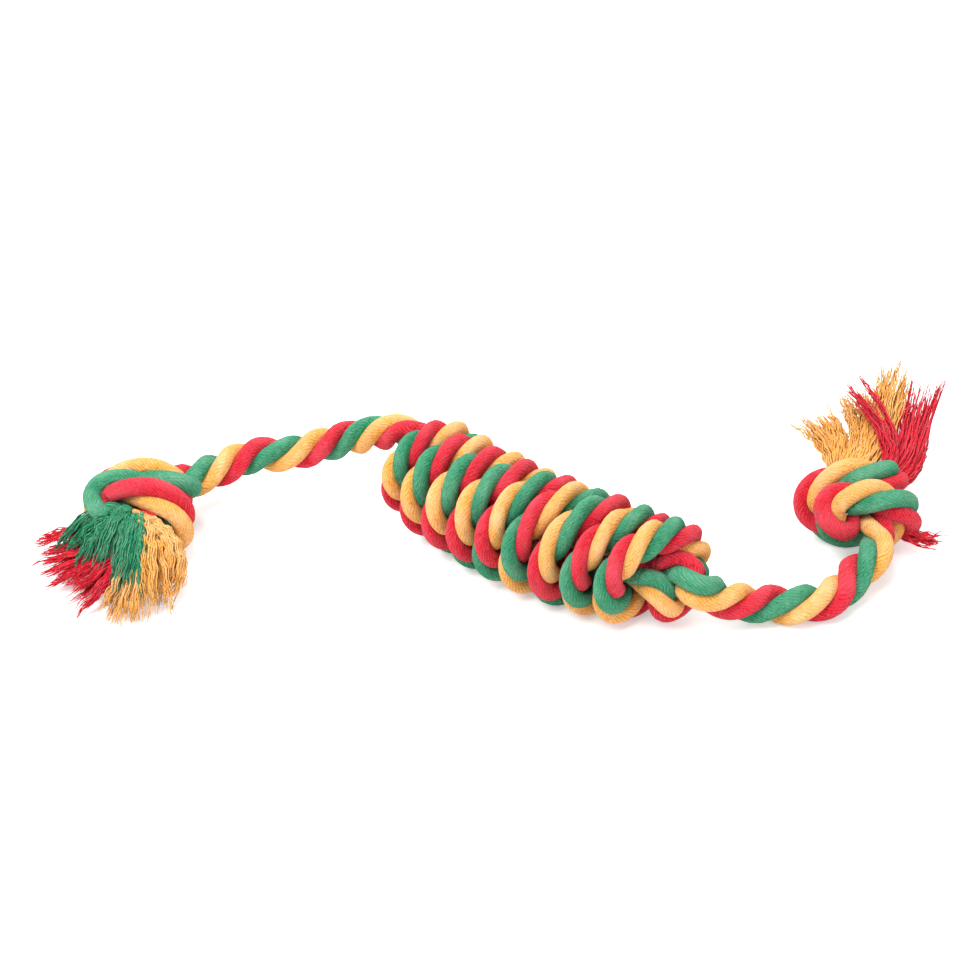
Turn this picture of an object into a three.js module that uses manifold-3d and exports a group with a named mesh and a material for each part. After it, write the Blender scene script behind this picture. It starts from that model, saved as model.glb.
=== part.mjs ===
// Rope dog toy. One length of three-strand cotton rope is wound round itself into a coil in the
// middle, has an overhand knot near each end, and is frayed out into a tassel past each knot.
// Millimetres, +Z up, lying on z = 0. Every strand of every stretch of the rope is a solid.
import * as THREE from "three";
import Module from "manifold-3d";
import { mergeVertices } from "three/addons/utils/BufferGeometryUtils.js";

const wasm = await Module();
wasm.setup();
const degrees = Math.PI / 180;
const fullTurn = 2 * Math.PI;

// The rope
const ropeDiameter = 12;
const strandGap = 0.3; // between strands laid together, and between the ends of two stretches
const layLength = 31; // one full twist of the three strands, the way of the letter S
const stepsPerLay = 8;
const lobeSides = 6;
const strands = [
  { name: "green", turn: -60 * degrees, colour: 0x1f8a5f },
  { name: "red", turn: 180 * degrees, colour: 0xd81e3c },
  { name: "yellow", turn: 60 * degrees, colour: 0xf2a83c },
];

// The coil in the middle. The rope goes in at the left end and through to the right end, comes out
// at the front, winds back over itself to the left end, goes in again and runs out to the right.
const coilTurnRadius = 14; // from the coil's axis to the middle of the rope
const coilLength = 83.8; // from the first turn to the last
const coilYaw = 38 * degrees; // how far the right end is swung forwards
const coilMiddle = new THREE.Vector3(16.9, -30.5, 0); // on the ground, under the coil
const coilBow = 5; // how far the middle is bent forwards
const coilLeanShare = 0.27; // how far the front of a turn is to the left, of its way forwards
const stepsPerLoop = 24;
const frontAngle = 48 * degrees; // from the top of the coil to its front
// The turns, numbered from the left, by the value at their fronts
const turnPlaceShares = [-0.133, 0, 0.133, 0.265, 0.393, 0.517, 0.635, 0.758, 0.88, 1, 1.13];
const turnRadiusShares = [0.5, 0.94, 0.98, 1, 1, 1, 1, 0.98, 0.94, 0.89, 0.78];
const turnRopeShares = [0.9, 0.96, 0.98, 1, 1, 1, 1, 1, 1, 0.98, 0.88];
const turnSqueezeShares = [0.88, 0.84, 0.86, 0.84, 0.81, 0.76, 0.74, 0.73, 0.73, 0.8, 0.92]; // along it
const turnLays = [-2.9, 0.133, 3.158, 6.036, 8.95, 11.77, 14.42, 16.9, 19.58, 22.56, 25.3]; // twists
const floorFlatShare = 0.1; // of the rope's diameter, pressed flat under the coil

// The rope's two runs through the coil, which turn half round each other, and their ends
const coreOffset = 3.2; // from the coil's axis to the middle of each run
const coreRopeShare = 0.5; // squeezed by the turns round it
const coreAngle = -20 * degrees; // of the run from the left arm, at the left end, from the top
const coreTurn = 125 * degrees; // from the left end to the right
const firstRunLay = 50;
const secondRunLay = 45;
const coreSteps = 14;
const wayIn = { place: -10, radius: 6, angle: -30 * degrees }; // of the left arm, from the first turn
const wayInHandle = 4;
const wayBack = -4; // from the first turn to where the rope has turned inwards again
const wayOut = 2; // from the last turn to where the right arm starts
const leftLoopAngle = 130 * degrees; // of the turns' left end, where the rope bends inwards
const rightLoopAngle = 195 * degrees;
const loopHandle = 9;
const bendSteps = 8;

// The two end knots: the same knot as the coil, with a single turn
const knotRopeShare = 0.76;
const knotClearance = 0.6;
const knotPitch = 10.4;
const knotHandle = 12;
const knotRunInAngle = 70 * degrees; // taken up by the rope as it turns into a run
const knotSteps = 24;
const knotReach = 12.5; // from the middle of the knot to where its straight runs end
const knotSwell = 22; // from the knot's end to where the arm has its full thickness
const coilSwell = 9; // the same from the coil's right end

// The route of each arm, from its knot to the coil
const leftArmLay = 29;
const rightArmLay = 30.8;
const leftArm = [
  [-96, -0.5, 12],
  [-87, 5, 12.5],
  [-76, 12, 13.5],
  [-64, 14, 13],
  [-54, 17, 14],
  [-45, 18.6, 15.8],
];
const rightArm = [
  [63.3, -63.1, 17.9],
  [73.6, -60.5, 10.7],
  [86, -57.5, 6.6],
  [97, -57.5, 6.4],
  [107, -54, 6.6],
  [114, -47, 8.5],
];
const leftKnot = { middle: [-107.5, -20, 14.5], way: [-0.3, -0.92, 0.2], lay: 55, outLay: 21 };
const rightKnot = { middle: [120, -19, 14], way: [0.1, 0.98, 0.1], lay: 38, outLay: 100 };

// The frayed ends: one brush of yarns for each strand, from its root to its tip
const brushSteps = 6;
const brushSides = 14;
const brushClearance = 0.8; // cut clear of a brush that lies across another
const brushTrim = 0.03; // slivers under this go when a brush is cut
const brushFluteShare = 0.22; // how deep the hollows between the locks of yarn are
const brushRaggedShares = [1, 0.95, 0.98, 0.94, 0.97, 1, 0.95, 0.99, 0.94, 0.97, 0.95, 1, 0.94, 0.96];
const brushes = {
  left_tassel: {
    green: { tip: [-117, -51, 15], lift: 4, halfWidth: 13, halfDepth: 3.5 },
    red: { tip: [-134, -37, 5], lift: 1, halfWidth: 14, halfDepth: 4 },
    yellow: { tip: [-98, -62, 4.5], lift: -4, halfWidth: 13, halfDepth: 3.5 },
  },
  right_tassel: {
    green: { tip: [119, 20, 12], lift: 2, halfWidth: 5, halfDepth: 3 },
    red: { tip: [150, 36, 24], lift: 3, halfWidth: 7, halfDepth: 4 },
    yellow: { tip: [126, 36, 26], lift: 6, halfWidth: 16, halfDepth: 4 },
  },
};

const along = new THREE.Vector3(Math.cos(coilYaw), -Math.sin(coilYaw), 0);
const upward = new THREE.Vector3(0, 0, 1);
const forward = new THREE.Vector3().crossVectors(along, upward);
const floorFlat = floorFlatShare * ropeDiameter;
const coilHeight = coilTurnRadius * Math.max(...turnRadiusShares) + ropeDiameter / 2 - floorFlat;

// The strand: a lobe of the rope, seated so that it clears its two neighbours
const strandRadius = (ropeDiameter / 2 - strandGap / Math.sqrt(3)) / 2;
const strandSeat = ropeDiameter / 2 - strandRadius;

// A value of a table between two of its entries, on a smooth curve
function tableAt(table, place) {
  const last = table.length - 1;
  const i = THREE.MathUtils.clamp(Math.floor(place), 0, last - 1);
  const t = place - i;
  const [a, b, c, d] = [i - 1, i, i + 1, i + 2].map((k) => table[THREE.MathUtils.clamp(k, 0, last)]);
  return b + (t * (c - a + t * (2 * a - 5 * b + 4 * c - d + t * (3 * (b - c) + d - a)))) / 2;
}

// A point near the coil: how far along it, how far from its axis, and round from the top
function coilPoint(place, radius, angle) {
  const toEnd = place / (coilLength / 2);
  return new THREE.Vector3(coilMiddle.x, coilMiddle.y, coilHeight)
    .addScaledVector(along, place)
    .addScaledVector(upward, radius * Math.cos(angle))
    .addScaledVector(forward, radius * Math.sin(angle) + coilBow * (1 - toEnd * toEnd));
}

const mix = THREE.MathUtils.lerp;
const coilEnd = coilLength / 2;

// Stations of a straight run, its ends included
function straight(from, to, shares, steps, lay = layLength) {
  return Array.from({ length: steps + 1 }, (_, i) => ({
    point: from.clone().lerp(to, i / steps),
    share: mix(shares[0], shares[1], i / steps),
    lay,
  }));
}

// Stations of a bend that joins two runs, without its two ends
function bend(from, fromWay, to, toWay, handle, shares, steps, lay = layLength) {
  const curve = new THREE.CubicBezierCurve3(
    from,
    from.clone().addScaledVector(fromWay, handle),
    to.clone().addScaledVector(toWay, -handle),
    to,
  );
  return curve
    .getSpacedPoints(steps)
    .map((point, i) => ({ point, share: mix(shares[0], shares[1], i / steps), lay }))
    .slice(1, -1);
}

// The way the rope runs at the start and at the end of some stations
function startWay(stations) {
  return stations[1].point.clone().sub(stations[0].point).normalize();
}

function endWay(stations) {
  return stations.at(-1).point.clone().sub(stations.at(-2).point).normalize();
}

// A run inside the coil, from one place along it to another, and its angle at the left end
function coreStations(from, to, angle, lay) {
  return Array.from({ length: coreSteps + 1 }, (_, i) => {
    const place = mix(from, to, i / coreSteps);
    const turned = (coreTurn * (place + coilEnd)) / coilLength;
    return {
      point: coilPoint(place, coreOffset, angle + turned),
      share: coreRopeShare,
      lay,
    };
  });
}

// The first run: in from the left arm, and through to the right end
function firstRunStations() {
  const start = coilPoint(wayIn.place - coilEnd, wayIn.radius, wayIn.angle);
  const core = coreStations(-coilEnd, coilEnd, coreAngle, firstRunLay);
  return [
    { point: start, share: 1, lay: leftArmLay },
    ...bend(start, along, core[0].point, startWay(core), wayInHandle, [1, coreRopeShare], bendSteps,
      leftArmLay),
    ...core,
  ];
}

// The second run: from the left end through to where the right arm starts
function secondRunStations() {
  return coreStations(wayBack - coilEnd, coilEnd + wayOut, coreAngle + Math.PI, secondRunLay);
}

// The turns: out of the first run, round and round from right to left, and into the second run
function windingStations(before, after) {
  const leftTurn = 1 - (leftLoopAngle - frontAngle) / fullTurn;
  const rightTurn = turnPlaceShares.length - 1 - (rightLoopAngle - frontAngle) / fullTurn;
  const steps = Math.round((rightTurn - leftTurn) * stepsPerLoop);
  const turns = Array.from({ length: steps + 1 }, (_, i) => {
    const turn = mix(rightTurn, leftTurn, i / steps);
    const angle = frontAngle - (turn - 1) * fullTurn;
    const radius = tableAt(turnRadiusShares, turn) * coilTurnRadius;
    const place = (tableAt(turnPlaceShares, turn) - 0.5) * coilLength
      - coilLeanShare * radius * Math.sin(angle);
    return {
      point: coilPoint(place, radius, angle),
      outward: coilPoint(place, 1, angle).sub(coilPoint(place, 0, angle)),
      lays: -tableAt(turnLays, turn),
      squeeze: tableAt(turnSqueezeShares, turn),
      share: tableAt(turnRopeShares, turn),
      lay: layLength,
    };
  });
  const from = before.at(-1);
  const to = after[0];
  return [
    { ...from, point: from.point.clone(), lay: layLength },
    ...bend(from.point, endWay(before), turns[0].point, startWay(turns), loopHandle,
      [from.share, turns[0].share], bendSteps),
    ...turns,
    ...bend(turns.at(-1).point, endWay(turns), to.point, startWay(after), loopHandle,
      [turns.at(-1).share, to.share], bendSteps),
    { ...to, point: to.point.clone(), lay: layLength },
  ];
}

// One overhand knot, from the arm's side to the tassel's side
function knotStations({ middle, way, lay, outLay }) {
  const size = knotRopeShare * ropeDiameter + knotClearance;
  const axis = new THREE.Vector3(...way).normalize();
  const flat = new THREE.Vector3().crossVectors(upward, axis).normalize();
  const square = new THREE.Vector3().crossVectors(axis, flat);
  const at = (x, y, z) =>
    new THREE.Vector3(...middle).addScaledVector(axis, x).addScaledVector(flat, y)
      .addScaledVector(square, z);
  const startAngle = Math.PI - knotRunInAngle;
  const endAngle = knotRunInAngle - fullTurn;
  const halfPlace = (knotPitch * (startAngle - endAngle)) / fullTurn / 2;
  const steps = Math.round(((startAngle - endAngle) / fullTurn) * knotSteps);
  const turns = Array.from({ length: steps + 1 }, (_, i) => {
    const angle = mix(startAngle, endAngle, i / steps);
    const place = mix(halfPlace, -halfPlace, i / steps);
    return {
      point: at(place, 1.5 * size * Math.cos(angle), size * Math.sin(angle)),
      share: knotRopeShare,
    };
  });
  const kept = [knotRopeShare, knotRopeShare];
  const runs = { in: at(halfPlace, -size / 2, 0), out: at(-halfPlace, size / 2, 0) };
  return [
    ...straight(at(-knotReach, -size / 2, 0), runs.in, kept, 7),
    ...bend(runs.in, axis, turns[0].point, startWay(turns), knotHandle, kept, 5),
    ...turns,
    ...bend(turns.at(-1).point, endWay(turns), runs.out, axis, knotHandle, kept, 5),
  ].map((s) => ({ ...s, lay })).concat(
    straight(runs.out, at(knotReach, size / 2, 0), kept, 7, outLay),
  );
}

// An arm: through its chosen points, and straight into the stretch at each end
function armStations(before, points, after, lay) {
  const from = before.at(-1);
  const to = after[0];
  const tail = ropeDiameter / 2;
  const curve = new THREE.CatmullRomCurve3(
    [
      from.point.clone(),
      from.point.clone().addScaledVector(endWay(before), tail),
      ...points.map((p) => new THREE.Vector3(...p)),
      to.point.clone().addScaledVector(startWay(after), -tail),
      to.point.clone(),
    ],
    false,
    "centripetal",
  );
  const length = curve.getLength();
  const steps = Math.ceil((length / layLength) * stepsPerLay);
  const swell = (share, run) => {
    const over = share === coreRopeShare ? coilSwell : knotSwell;
    return mix(share, 1, Math.min(1, run / over));
  };
  return curve.getSpacedPoints(steps).map((point, i) => ({
    point,
    share: Math.min(
      swell(from.share, (i / steps) * length),
      swell(to.share, (1 - i / steps) * length),
    ),
    lay,
  }));
}

// The whole rope in order, from the left tassel to the right one
const leftKnotRun = knotStations(leftKnot).reverse();
const rightKnotRun = knotStations(rightKnot);
const firstRun = firstRunStations();
const secondRun = secondRunStations();
const stretches = {
  left_knot: leftKnotRun,
  left_arm: armStations(leftKnotRun, leftArm, firstRun, leftArmLay),
  inner_bight: firstRun,
  winding: windingStations(firstRun, secondRun),
  inner_run: secondRun,
  right_arm: armStations(secondRun, rightArm, rightKnotRun, rightArmLay),
  right_knot: rightKnotRun,
};

// Where two stretches meet, their ends are parallel and each is half a gap short of the other
const runs = Object.values(stretches);
runs.forEach((stations, i) => {
  stations[0].way = startWay(stations);
  stations.at(-1).way = endWay(stations);
  if (i) stations[0].way.add(endWay(runs[i - 1]));
  if (i + 1 < runs.length) stations.at(-1).way.add(startWay(runs[i + 1]));
});
const route = [];
for (const [name, stations] of Object.entries(stretches)) {
  for (const s of [stations[0], stations.at(-1)]) s.way.normalize();
  stations[0].point.addScaledVector(stations[0].way, strandGap / 2);
  stations.at(-1).point.addScaledVector(stations.at(-1).way, -strandGap / 2);
  for (const s of stations) {
    s.name = name;
    route.push(s);
  }
}

// The frame of each station: the way the rope runs, and two directions square to it
route.forEach((s, i) => {
  if (!s.way) s.way = route[i + 1].point.clone().sub(route[i - 1].point).normalize();
  const from = i ? route[i - 1].side : upward;
  s.side = from.clone().addScaledVector(s.way, -from.dot(s.way)).normalize();
  s.other = new THREE.Vector3().crossVectors(s.way, s.side);
});

// The twist of each station. In the coil it keeps to the coil's own table, seen from outside,
// and elsewhere it runs on from there by the lay of the rope.
const wound = route.filter((s) => s.outward);
for (const s of wound) {
  s.twist = Math.atan2(s.outward.dot(s.other), s.outward.dot(s.side)) - s.lays * fullTurn;
}
for (let i = route.indexOf(wound.at(-1)) + 1; i < route.length; i++) {
  const step = route[i].point.distanceTo(route[i - 1].point);
  route[i].twist = route[i - 1].twist - (step / route[i].lay) * fullTurn;
}
for (let i = route.indexOf(wound[0]) - 1; i >= 0; i--) {
  const step = route[i].point.distanceTo(route[i + 1].point);
  route[i].twist = route[i + 1].twist + (step / route[i].lay) * fullTurn;
}

// A point of the rope's section, from its own middle. The turns are squeezed along the coil.
function sectionPoint(s, x, y) {
  const from = new THREE.Vector3()
    .addScaledVector(s.side, x * s.share)
    .addScaledVector(s.other, y * s.share);
  if (s.outward) {
    const across = new THREE.Vector3().crossVectors(s.way, s.outward).normalize();
    from.addScaledVector(across, (s.squeeze - 1) * from.dot(across));
  }
  return from.add(s.point);
}

// The corners of one strand at one station: the outermost first, then round
function lobe(s, strand) {
  const turn = s.twist + strand.turn;
  return Array.from({ length: lobeSides }, (_, i) => {
    const angle = turn + (i / lobeSides) * fullTurn;
    return sectionPoint(
      s,
      strandSeat * Math.cos(turn) + strandRadius * Math.cos(angle),
      strandSeat * Math.sin(turn) + strandRadius * Math.sin(angle),
    );
  });
}

// A closed tube through rings of corners. Each side is split from its inner corner to the next
// ring's outer one, so that two strands laid together bend the same way where they face.
function tube(rings) {
  const n = rings[0].length;
  const positions = rings.flat().flatMap((p) => [p.x, p.y, p.z]);
  const faces = [];
  const half = n / 2;
  for (let i = 0; i + 1 < rings.length; i++) {
    for (let j = 0; j < n; j++) {
      const a = i * n + j;
      const b = i * n + ((j + 1) % n);
      const c = a + n;
      const d = b + n;
      if (j < half) faces.push(a, b, c, b, d, c);
      else faces.push(a, b, d, a, d, c);
    }
  }
  const end = (rings.length - 1) * n;
  for (let j = 1; j + 1 < n; j++) {
    faces.push(0, j + 1, j);
    faces.push(end, end + j, end + j + 1);
  }
  const geometry = new THREE.BufferGeometry();
  geometry.setAttribute("position", new THREE.Float32BufferAttribute(positions, 3));
  geometry.setIndex(faces);
  return geometry;
}

// Solids for cutting and joining
function solidOf(geometry) {
  const bare = geometry.clone();
  bare.deleteAttribute("normal");
  bare.deleteAttribute("uv");
  const merged = mergeVertices(bare);
  return new wasm.Manifold(
    new wasm.Mesh({
      numProp: 3,
      vertProperties: new Float32Array(merged.attributes.position.array),
      triVerts: new Uint32Array(merged.index.array),
    }),
  );
}

function geometryOf(solid) {
  const mesh = solid.getMesh();
  const geometry = new THREE.BufferGeometry();
  geometry.setAttribute("position", new THREE.BufferAttribute(mesh.vertProperties, 3));
  geometry.setIndex(new THREE.BufferAttribute(mesh.triVerts, 1));
  return geometry;
}

// One frayed strand: it leaves the knot the way the rope runs, and opens out flat like a brush
function brush(end, outWay, strand, { tip, lift, halfWidth, halfDepth }, grown = 0) {
  const turn = end.twist + strand.turn;
  const root = sectionPoint(end, strandSeat * Math.cos(turn), strandSeat * Math.sin(turn));
  root.addScaledVector(outWay, strandGap);
  const target = new THREE.Vector3(...tip);
  const reach = root.distanceTo(target);
  const curve = new THREE.CubicBezierCurve3(
    root,
    root.clone().addScaledVector(outWay, reach / 4),
    root.clone().lerp(target, 2 / 3).addScaledVector(upward, lift),
    target,
  );
  const rings = [];
  for (let i = 0; i <= brushSteps; i++) {
    const t = i / brushSteps;
    const way = curve.getTangent(t);
    const across = new THREE.Vector3().crossVectors(upward, way).normalize();
    const over = new THREE.Vector3().crossVectors(way, across);
    const start = strandRadius * end.share;
    const wide = mix(start, halfWidth, t ** 1.3) + grown;
    const deep = mix(start, halfDepth, t) + grown;
    const ring = [];
    for (let j = 0; j < brushSides; j++) {
      const angle = (j / brushSides) * fullTurn;
      const flute = j % 2 ? 1 - brushFluteShare * t : 1;
      const ragged = i === brushSteps ? (brushRaggedShares[j] - 1) * reach : 0;
      ring.push(
        curve
          .getPoint(t)
          .addScaledVector(across, wide * flute * Math.cos(angle))
          .addScaledVector(over, deep * flute * Math.sin(angle))
          .addScaledVector(way, ragged + 2 * grown * t),
      );
    }
    rings.push(ring);
  }
  return tube(rings);
}

// The ground cuts flat whatever the toy presses on it
const groundSize = 1000;
function pressedOnGround(geometry) {
  geometry.computeBoundingBox();
  if (geometry.boundingBox.min.z >= 0) return geometry;
  const ground = new THREE.BoxGeometry(groundSize, groundSize, groundSize);
  ground.translate(0, 0, -groundSize / 2);
  return geometryOf(solidOf(geometry).subtract(solidOf(ground)));
}

// The least gap between points of the surface of two stretches, not near each other on the rope
function leastGap(a, b) {
  const surface = (s) => strands.flatMap((strand) => {
    const corners = lobe(s, strand);
    return corners.flatMap((c, i) => [c, c.clone().lerp(corners[(i + 1) % lobeSides], 0.5)]);
  });
  const at = new Map([...a, ...b].map((s) => [s, surface(s)]));
  let least = Infinity;
  for (const s of a) {
    for (const t of b) {
      if (Math.abs(s.run - t.run) < 2 * ropeDiameter) continue;
      if (s.point.distanceTo(t.point) > 1.5 * ropeDiameter) continue;
      for (const p of at.get(s)) for (const q of at.get(t)) least = Math.min(least, p.distanceTo(q));
    }
  }
  return least;
}

route.forEach((s, i) => {
  s.run = i ? route[i - 1].run + s.point.distanceTo(route[i - 1].point) : 0;
});
for (const name of ["left_knot", "winding", "right_knot"]) {
  const stations = route.filter((s) => s.name === name);
  console.log("least gap of", name, "to itself", leastGap(stations, stations).toFixed(2));
}
console.log("length of the rope between the tassels", route.at(-1).run.toFixed(0));

const group = new THREE.Group();
function addPiece(name, strand, geometry) {
  const finish = { color: strand.colour, roughness: 0.95, metalness: 0 };
  const mesh = new THREE.Mesh(pressedOnGround(geometry), new THREE.MeshStandardMaterial(finish));
  mesh.name = `${name}_${strand.name}`;
  group.add(mesh);
}

for (const name of Object.keys(stretches)) {
  const stations = route.filter((s) => s.name === name);
  for (const strand of strands) addPiece(name, strand, tube(stations.map((s) => lobe(s, strand))));
}
const ropeEnds = { left_tassel: route[0], right_tassel: route.at(-1) };
for (const [name, end] of Object.entries(ropeEnds)) {
  const outWay = end === route[0] ? end.way.clone().negate() : end.way;
  const laidFirst = [];
  for (const strand of strands) {
    const shape = brushes[name][strand.name];
    let solid = solidOf(brush(end, outWay, strand, shape));
    for (const other of laidFirst) solid = solid.subtract(other);
    const largest = solid.simplify(brushTrim).decompose().sort((a, b) => b.volume() - a.volume())[0];
    addPiece(name, strand, geometryOf(largest));
    laidFirst.push(solidOf(brush(end, outWay, strand, shape, brushClearance)));
  }
}

// The toy stands centred on the origin
const box = new THREE.Box3().setFromObject(group);
const centre = box.getCenter(new THREE.Vector3());
for (const mesh of group.children) mesh.geometry.translate(-centre.x, -centre.y, 0);
console.log("size", box.getSize(new THREE.Vector3()).toArray().map((v) => v.toFixed(1)).join(" x "),
  "centre", centre.toArray().map((v) => v.toFixed(2)).join(" "));

export default group;
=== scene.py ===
# Rope dog toy: three-strand cotton rope wound into a coil, knotted and frayed at both ends.
# The frame is in metres; lengths below are in millimetres until a mesh is made.
import math

import bpy
import numpy as np
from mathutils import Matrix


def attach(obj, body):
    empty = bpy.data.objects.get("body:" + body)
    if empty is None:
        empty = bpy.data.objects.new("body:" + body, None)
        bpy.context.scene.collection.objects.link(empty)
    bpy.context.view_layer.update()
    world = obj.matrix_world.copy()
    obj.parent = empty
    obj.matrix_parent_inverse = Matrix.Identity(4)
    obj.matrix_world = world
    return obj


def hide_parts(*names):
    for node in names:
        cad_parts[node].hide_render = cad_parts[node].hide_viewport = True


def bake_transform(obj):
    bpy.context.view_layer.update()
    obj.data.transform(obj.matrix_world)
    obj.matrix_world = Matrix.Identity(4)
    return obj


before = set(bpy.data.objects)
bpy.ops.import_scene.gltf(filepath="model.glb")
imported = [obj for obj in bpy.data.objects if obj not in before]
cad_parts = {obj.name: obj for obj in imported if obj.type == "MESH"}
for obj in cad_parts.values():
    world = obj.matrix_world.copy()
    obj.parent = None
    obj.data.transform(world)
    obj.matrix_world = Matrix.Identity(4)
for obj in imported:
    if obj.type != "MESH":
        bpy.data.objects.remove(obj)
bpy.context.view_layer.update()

mm = 0.001
fullTurn = 2 * math.pi
toyCentre = np.array([9.11, -14.37, 0.0])  # the solids are centred by this much


# Camera
camera = {"elevation": 35, "distance": 560, "lens": 63.98, "sensor": 36, "near": 0.01, "aim": [0, 0, 12]}


def placeCamera(c):
    # the eye is the aim, gone back by the distance along a line that rises by the elevation
    e = math.radians(c["elevation"])
    aim = (np.array(c["aim"]) - toyCentre) * mm
    eye = aim - np.array([0, math.cos(e), -math.sin(e)]) * c["distance"] * mm
    data = bpy.data.cameras.new("photoCamera")
    data.lens = c["lens"]
    data.sensor_width = c["sensor"]
    data.clip_start = c["near"]
    cam = bpy.data.objects.new("photoCamera", data)
    bpy.context.scene.collection.objects.link(cam)
    cam.location = eye
    cam.rotation_euler = (math.radians(90 - c["elevation"]), 0, 0)
    bpy.context.scene.camera = cam


placeCamera(camera)
print("camera: placed")


# The rope's route
rope = {
    "diameter": 12, "lay": 31, "step": 0.85, "bendSamples": 400, "armSamples": 60, "ground": 0.02,
    "strands": {"Green": -60, "Red": 180, "Yellow": 60},
}
coil = {
    "radius": 14, "length": 83.8, "yaw": 38, "middle": [16.9, -30.5, 0], "bow": 5, "lean": 0.27,
    "front": 48, "floorFlat": 0.1, "stepsPerTurn": 104,
    # by the number of the turn from the left, at its front
    "place": [-0.133, 0, 0.133, 0.265, 0.393, 0.517, 0.635, 0.758, 0.88, 1, 1.13],
    "turnRadius": [0.5, 0.94, 0.98, 1, 1, 1, 1, 0.98, 0.94, 0.89, 0.78],
    "thickness": [0.9, 0.96, 0.98, 1, 1, 1, 1, 1, 1, 0.98, 0.88],
    "squeeze": [0.88, 0.84, 0.86, 0.84, 0.81, 0.76, 0.74, 0.73, 0.73, 0.8, 0.92],
    "lays": [-2.9, 0.133, 3.158, 6.036, 8.95, 11.77, 14.42, 16.9, 19.58, 22.56, 25.3],
    "leftLoop": 130, "rightLoop": 195, "loopHandle": 9,
    "fade": 22,  # stations past each end of the turns over which the squeeze goes
}
core = {
    "offset": 3.2, "thickness": 0.5, "angle": -20, "turn": 125, "firstLay": 50, "secondLay": 45,
    "wayIn": [-10, 6, -30], "wayInHandle": 4, "wayBack": -4, "wayOut": 2,
    "endThickness": 0.85, "swell": 12,
}
knots = {
    "spacing": 0.76, "thickness": 0.95, "clearance": 0.6, "pitch": 10.4, "handle": 12, "runIn": 70,
    "reach": 12.5, "halfWidth": 1.5, "halfHeight": 1.0, "stepsPerTurn": 84,
    "left": {"middle": [-107.5, -20, 14.5], "way": [-0.3, -0.92, 0.2], "lay": 55, "outLay": 21},
    "right": {"middle": [120, -19, 14], "way": [0.1, 0.98, 0.1], "lay": 38, "outLay": 100},
}
arms = {
    "knotSwell": 22, "coilSwell": 9, "leftLay": 29, "rightLay": 30.8,
    "left": [[-96, -0.5, 12], [-87, 5, 12.5], [-76, 12, 13.5], [-64, 14, 13], [-54, 17, 14],
             [-45, 18.6, 15.8]],
    "right": [[63.3, -63.1, 17.9], [73.6, -60.5, 10.7], [86, -57.5, 6.6], [97, -57.5, 6.4],
              [107, -54, 6.6], [114, -47, 8.5]],
}

yaw = math.radians(coil["yaw"])
along = np.array([math.cos(yaw), -math.sin(yaw), 0])
upward = np.array([0.0, 0, 1])
forward = np.cross(along, upward)
coilHeight = coil["radius"] * max(coil["turnRadius"]) + rope["diameter"] * (0.5 - coil["floorFlat"])
coilAxis = np.array([coil["middle"][0], coil["middle"][1], coilHeight])


def unit(v):
    # each vector by its own length
    return v / np.linalg.norm(v, axis=-1, keepdims=True)


def tableAt(table, place):
    # smooth curve through the entries: a cubic through four neighbours, held at both ends
    table = np.asarray(table, float)
    last = len(table) - 1
    i = np.clip(np.floor(place).astype(int), 0, last - 1)
    t = place - i
    a, b, c, d = (table[np.clip(i + k, 0, last)] for k in (-1, 0, 1, 2))
    return b + t * (c - a + t * (2 * a - 5 * b + 4 * c - d + t * (3 * (b - c) + d - a))) / 2


def outwardAt(angle):
    # away from the coil's axis: up by the cosine of the angle and forwards by its sine
    angle = np.asarray(angle, float)[..., None]
    return upward * np.cos(angle) + forward * np.sin(angle)


def coilPoint(place, radius, angle):
    # a point off the coil's axis, which is bowed forwards most in its middle: 1 - (2 place/length)^2
    place, radius = np.asarray(place, float)[..., None], np.asarray(radius, float)[..., None]
    bow = forward * coil["bow"] * (1 - (2 * place / coil["length"]) ** 2)
    return coilAxis + along * place + bow + outwardAt(angle) * radius


def spaced(points, count):
    # the same line, as points an equal way apart
    gone = np.append(0, np.cumsum(np.linalg.norm(np.diff(points, axis=0), axis=1)))
    to = np.linspace(0, gone[-1], count + 1)
    return np.stack([np.interp(to, gone, points[:, k]) for k in range(3)], axis=1)


def lengthOf(points):
    # the sum of the steps between neighbours
    return float(np.linalg.norm(np.diff(points, axis=0), axis=1).sum())


def run(points, share, lay):
    # one stretch of the rope: points, and at each its thickness share, its lay and the coil's tables
    n = len(points)
    return {
        "point": points, "share": np.broadcast_to(share, n).astype(float),
        "lay": np.full(n, float(lay)), "angle": np.full(n, np.nan), "lays": np.full(n, np.nan),
        "squeeze": np.ones(n),
    }


def stepsFor(length):
    # the length by the step, and never under three
    return max(3, round(length / rope["step"]))


def straightRun(a, b, shares, lay):
    # a + (b - a) t, with the thickness share going evenly from one to the other
    t = np.linspace(0, 1, stepsFor(np.linalg.norm(b - a)) + 1)
    return run(a + (b - a) * t[:, None], shares[0] + (shares[1] - shares[0]) * t, lay)


def bendRun(a, aWay, b, bWay, handle, shares, lay):
    # a cubic curve that leaves a along aWay and comes into b along bWay
    t = np.linspace(0, 1, rope["bendSamples"])[:, None]
    p, q = a + aWay * handle, b - bWay * handle
    line = (1 - t) ** 3 * a + 3 * (1 - t) ** 2 * t * p + 3 * (1 - t) * t ** 2 * q + t ** 3 * b
    steps = stepsFor(lengthOf(line))
    s = np.linspace(0, 1, steps + 1)
    return run(spaced(line, steps), shares[0] + (shares[1] - shares[0]) * s, lay)


def joined(runs):
    # runs end to end, with each shared point kept once
    keep = [runs[0]] + [{k: v[1:] for k, v in r.items()} for r in runs[1:]]
    return {k: np.concatenate([r[k] for r in keep]) for k in keep[0]}


def wayAt(points, i):
    # the way of the first or the last step
    return unit(points[1] - points[0]) if i == 0 else unit(points[-1] - points[-2])


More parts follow.
